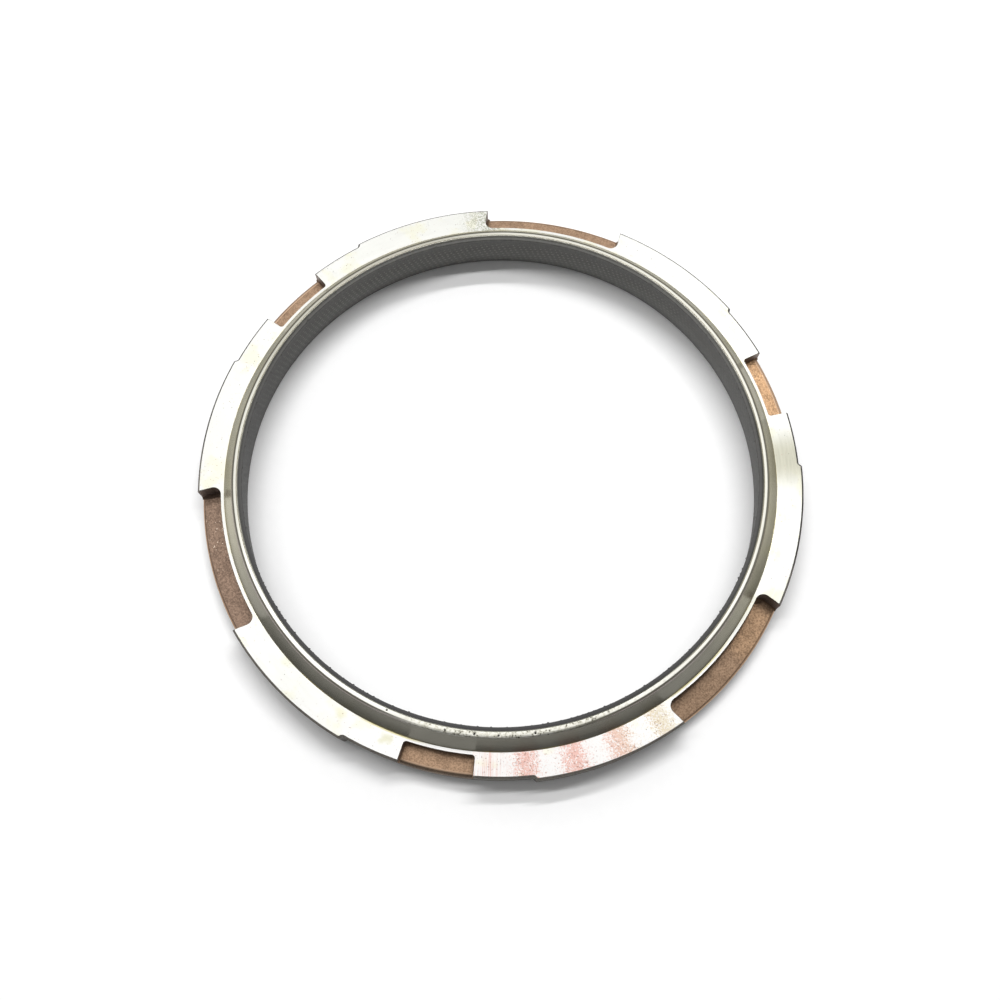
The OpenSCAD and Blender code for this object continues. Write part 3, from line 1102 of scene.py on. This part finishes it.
# The same painted light and shade for the resin.
RESIN_PAINTED_LIGHT = (
    ("z", 9.0, 1.0, 0.55, (0.22, 0.218, 0.21)),
    ("z", 12.8, 13.0, 0.6, (0.03, 0.029, 0.025)),
    ("sin", 0.75, -0.1, 0.65, (0.025, 0.024, 0.023)),
    ("sin", -0.2, -0.7, 0.7, (0.015, 0.014, 0.015)),
)


def carbon_cloth():
    material, tree, shader = new_finish("carbon_cloth", 0.5, 0.0)
    at = ring_coordinates(tree)
    on_yarn = add_node(tree, "ShaderNodeUVMap", uv_map="yarn").outputs[0]
    along, across, _ = add_node(tree, "ShaderNodeSeparateXYZ", on_yarn).outputs
    fibres = noise(tree, vector(tree, times(tree, along, 2.0), times(tree, across, 18.0), at["z"]))
    clouds = noise(tree, at["place"], 0.35, 2.0)
    from_ends = remap(tree, away_from(tree, along, 0.5), 0.5, 0.1)
    from_sides = remap(tree, away_from(tree, across, 0.5), 0.45, 0.1)
    # Painted highlight: each crown is lighter in its middle.
    top = times(tree, from_ends, from_sides)
    shade = calc(tree, "MULTIPLY_ADD", top, 0.35, times(tree, mixed(tree, fibres, clouds, 0.6), 0.65))
    colour = blend(tree, remap(tree, shade, 0.2, 0.75), (0.095, 0.093, 0.082), (0.18, 0.177, 0.157))
    tree.links.new(shaded(tree, at, colour, CLOTH_PAINTED_LIGHT), shader.inputs["Base Color"])
    bump(tree, shader, fibres, 0.5, 0.02)
    return material


def band_resin():
    material, tree, shader = new_finish("band_resin", 0.6, 0.0)
    at = ring_coordinates(tree)
    grain = noise(tree, at["place"], 3.0, 2.0)
    yarns = across_marks(tree, at, 560, 0.0)
    colour = blend(tree, remap(tree, grain, 0.3, 0.7), (0.062, 0.061, 0.056), (0.10, 0.098, 0.09))
    near_top = times(tree, remap(tree, yarns, 0.42, 0.6), remap(tree, at["z"], 11.8, 12.6))
    colour = blend(tree, near_top, colour, (0.11, 0.108, 0.095))
    tree.links.new(shaded(tree, at, colour, RESIN_PAINTED_LIGHT), shader.inputs["Base Color"])
    bump(tree, shader, grain, 0.5, 0.05)
    return material


cloth = carbon_cloth()
resin = band_resin()
print("cloth and resin:", len(cloth.node_tree.nodes), len(resin.node_tree.nodes), "nodes")

# %% [markdown]
# ## Weaving
# The cloth was cut a little off the straight, by a rise of 2 yarns in 7. With that rise the weave closes
# exactly round the ring: one row of crossings has 40 of them, and each next row lies 1/53 of their
# distance lower and is shifted by 23/53 of it. The tree counts the crossings row by row and turns each
# count into a place on the cone.

# %% Geometry Nodes: places on the cone
ROW_COUNT = 40
ROW_SHIFT = 23.0
RISE, RUN = 2, 7
SPACING_ROWS = RISE * RISE + RUN * RUN
weave, weave_in, weave_out = new_tree("weave_lining", [
    ("Rows", "NodeSocketInt"), ("Top radius", "NodeSocketFloat"), ("Top height", "NodeSocketFloat"),
    ("Row step", "NodeSocketFloat"), ("Cone slope", "NodeSocketFloat"), ("Seed", "NodeSocketInt"),
    ("Crown", "NodeSocketObject"), ("Stub", "NodeSocketObject"), ("Stubs", "NodeSocketInt")])
given = weave_in.outputs


def cone_place(tree, turn, down, proud):
    """Place on the cone at an angle, some way below its top, standing proud of it towards the axis."""
    r = calc(tree, "MULTIPLY_ADD", down, given["Cone slope"], given["Top radius"])
    r = calc(tree, "SUBTRACT", r, proud)
    z = calc(tree, "SUBTRACT", given["Top height"], down)
    x = times(tree, r, calc(tree, "COSINE", turn))
    y = times(tree, r, calc(tree, "SINE", turn))
    return vector(tree, x, y, z)


def cone_axes(tree, turn, lean, yaw):
    """Rotation that stands a shape on the cone's face, looking at the axis, turned by yaw within the face."""
    cos = calc(tree, "COSINE", turn)
    sin = calc(tree, "SINE", turn)
    face = vector(tree, times(tree, cos, -1.0), times(tree, sin, -1.0), times(tree, lean, -1.0))
    down = vector(tree, times(tree, cos, lean), times(tree, sin, lean), -1.0)
    sideways = vector(tree, times(tree, sin, -1.0), cos, 0.0)
    part_sideways = vector_calc(tree, "SCALE", sideways, Scale=calc(tree, "COSINE", yaw))
    part_down = vector_calc(tree, "SCALE", down, Scale=calc(tree, "SINE", yaw))
    along = vector_calc(tree, "ADD", part_sideways, part_down)
    node = add_node(tree, "FunctionNodeAxesToRotation", face, along, primary_axis="Z", secondary_axis="X")
    return node.outputs[0]


def random_value(tree, low, high, salt):
    node = add_node(tree, "FunctionNodeRandomValue", data_type="FLOAT")
    node.inputs[2].default_value = low
    node.inputs[3].default_value = high
    tree.links.new(calc(tree, "ADD", given["Seed"], salt), node.inputs["Seed"])
    return node.outputs[1]


mean_r = (lining_r(LINING_FOOT_Z) + lining_r(LINING_TOP_Z)) / 2
spacing = 2 * math.pi * mean_r / ROW_COUNT
print("yarns cross every", round(spacing / math.sqrt(SPACING_ROWS), 2), "mm")

# %% [markdown]
# Every second crossing shows the other set of yarns, so its crown is turned by a right angle. No two
# crowns are quite alike: each is moved, turned and swollen a little by chance. Towards the foot, and just
# below the upper edge, the cloth is pressed flatter.

# %% Geometry Nodes: crowns
number = weave.nodes.new("GeometryNodeInputIndex").outputs[0]
row = calc(weave, "FLOOR", calc(weave, "DIVIDE", number, float(ROW_COUNT)))
place_in_row = calc(weave, "MODULO", number, float(ROW_COUNT))
shift = times(weave, row, -ROW_SHIFT / SPACING_ROWS)
turn = times(weave, calc(weave, "ADD", place_in_row, shift), 2 * math.pi / ROW_COUNT)
turn = calc(weave, "ADD", turn, random_value(weave, -0.0016, 0.0016, 1))
below = calc(weave, "ADD", times(weave, row, given["Row step"]), random_value(weave, 0.0004, 0.0006, 2))
flatter = times(weave, remap(weave, below, 0.005, 0.0115, 1.0, 0.4, "LINEAR"),
                remap(weave, below, 0.0007, 0.0022, 0.55, 1.0, "LINEAR"))
other_yarn = calc(weave, "MODULO", place_in_row, 2.0)
yaw = calc(weave, "MULTIPLY_ADD", other_yarn, math.pi / 2, math.atan2(RISE, RUN))
yaw = calc(weave, "ADD", yaw, random_value(weave, -0.12, 0.12, 3))
swell = random_value(weave, 0.9, 1.1, 4)
points = add_node(weave, "GeometryNodePoints", times(weave, given["Rows"], float(ROW_COUNT)),
                  named={"Position": cone_place(weave, turn, below, 0.0)}).outputs[0]
crowns = add_node(weave, "GeometryNodeInstanceOnPoints", points,
                  named={"Instance": shape_of(weave, given["Crown"]),
                         "Rotation": cone_axes(weave, turn, given["Cone slope"], yaw),
                         "Scale": vector(weave, swell, swell, flatter)}).outputs[0]
print("weave with crowns:", len(weave.nodes), "nodes")

# %% [markdown]
# The cut ends stand along the upper edge at nearly even angles. Each leans its own way, and stands a
# little further in or out than its neighbours, so that the edge looks frayed.

# %% Geometry Nodes: cut ends
end_number = weave.nodes.new("GeometryNodeInputIndex").outputs[0]
end_turn = calc(weave, "DIVIDE", times(weave, end_number, 2 * math.pi), given["Stubs"])
end_turn = calc(weave, "ADD", end_turn, random_value(weave, -0.004, 0.004, 5))
end_drop = random_value(weave, 0.0002, 0.0004, 6)
end_in = random_value(weave, -0.0001, 0.00011, 7)
end_points = add_node(weave, "GeometryNodePoints", given["Stubs"],
                      named={"Position": cone_place(weave, end_turn, end_drop, end_in)}).outputs[0]
end_leans = [random_value(weave, -0.35, 0.35, salt) for salt in (8, 9)]
end_size = random_value(weave, 0.85, 1.1, 10)
ends = add_node(weave, "GeometryNodeInstanceOnPoints", end_points,
                named={"Instance": shape_of(weave, given["Stub"]),
                       "Rotation": vector(weave, *end_leans, end_turn),
                       "Scale": vector(weave, end_size, end_size, end_size)}).outputs[0]
print("weave with cut ends:", len(weave.nodes), "nodes")

# %% [markdown]
# Crowns and ends become real mesh with the cloth's finish, and join the band with its resin. The number of
# rows follows from the height of the band and the distance between rows, which the rise of the yarns
# gives.

# %% Geometry Nodes: join and weave
STUBS = 300
TOP_MARGIN = 0.15
FOOT_MARGIN = 1.25
LINING_SHARP = math.radians(50)


def joined(tree, first, second):
    node = add_node(tree, "GeometryNodeJoinGeometry", first)
    tree.links.new(second, node.inputs[0])
    return node.outputs[0]


woven = add_node(weave, "GeometryNodeRealizeInstances", joined(weave, crowns, ends)).outputs[0]
woven = add_node(weave, "GeometryNodeSetMaterial", woven, None, cloth).outputs[0]
backing = add_node(weave, "GeometryNodeSetMaterial", given["Geometry"], None, resin).outputs[0]
weave.links.new(joined(weave, woven, backing), weave_out.inputs[0])

top_of_weave = LINING_TOP_Z - TOP_MARGIN
row_step = spacing / SPACING_ROWS
rows = int((top_of_weave - LINING_FOOT_Z - FOOT_MARGIN) / row_step)
band.data.materials.append(resin)
lining = run_tree(band, weave, {
    "Rows": rows, "Top radius": (lining_r(top_of_weave) + CROWN_H) * MM, "Top height": top_of_weave * MM,
    "Row step": row_step * MM, "Cone slope": CONE_SLOPE, "Seed": 11,
    "Crown": crown, "Stub": stub, "Stubs": STUBS})
for shape in (crown, stub):
    bpy.data.objects.remove(shape)
lining.data.shade_smooth()
lining.data.set_sharp_from_angle(angle=LINING_SHARP)
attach(lining, "root")
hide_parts("friction_lining")
print("lining:", rows, "rows of", ROW_COUNT, "crowns,", len(lining.data.polygons), "faces")

# %% [markdown]
# ## Floor
# The ring lies on a white sheet. A faint grain keeps the sheet from being one flat colour.

# %% Floor
FLOOR_HALF = 3.0


def white_sheet():
    material, tree, shader = new_finish("white_sheet", 0.9, 0.0)
    place = add_node(tree, "ShaderNodeTexCoord").outputs["Object"]
    grain = noise(tree, place, 400.0, 2.0)
    tree.links.new(blend(tree, grain, (0.90, 0.90, 0.90), (0.93, 0.93, 0.93)), shader.inputs["Base Color"])
    return material


bm = bmesh.new()
bmesh.ops.create_grid(bm, x_segments=2, y_segments=2, size=FLOOR_HALF)
floor = new_object("floor", bm, clean=False)
floor.data.materials.append(white_sheet())
print("floor:", 2 * FLOOR_HALF, "m across")

# %% [markdown]
# ## Light
# The shadows show how the ring was lit: by two long tubes high above its far side, and by the bright room
# around it. The tubes are long narrow area lamps that face the ring. The room is a white sky that is
# brighter towards the far left and never quite dark.

# %% Light
SKY_MIDDLE = 0.46
SKY_FAR = 0.47
SKY_RIGHT = -0.205
SKY_LEAST = 0.16
TUBE_W = 0.04
TUBE_TURN = 0.31
world = bpy.data.worlds.new("studio")
world.use_nodes = True
bpy.context.scene.world = world
sky = world.node_tree
background = sky.nodes["Background"]
background.inputs["Color"].default_value = (1.0, 1.0, 1.0, 1.0)
facing = add_node(sky, "ShaderNodeSeparateXYZ", add_node(sky, "ShaderNodeTexCoord").outputs["Generated"])
brightness = calc(sky, "MULTIPLY_ADD", facing.outputs[1], SKY_FAR, SKY_MIDDLE)
brightness = calc(sky, "MULTIPLY_ADD", facing.outputs[0], SKY_RIGHT, brightness)
sky.links.new(calc(sky, "MAXIMUM", brightness, SKY_LEAST), background.inputs["Strength"])


def tube_lamp(name, middle, length, power):
    data = bpy.data.lights.new(name, "AREA")
    data.shape = "RECTANGLE"
    data.size = length
    data.size_y = TUBE_W
    data.energy = power
    made = bpy.data.objects.new(name, data)
    bpy.context.scene.collection.objects.link(made)
    along = Vector((math.cos(TUBE_TURN), math.sin(TUBE_TURN), 0.0))
    back = Vector(middle)
    back = (back - along * back.dot(along)).normalized()
    axes = Matrix((along, back.cross(along), back)).transposed().to_4x4()
    made.matrix_world = Matrix.Translation(Vector(middle)) @ axes
    return made


tubes = [tube_lamp("near_tube", (-0.018, 0.135, 0.737), 0.9, 2.76),
         tube_lamp("far_tube", (-0.040, 0.397, 0.826), 0.626, 3.69)]
bpy.context.scene.view_settings.view_transform = "Standard"
print("lamps:", [tube.name for tube in tubes])
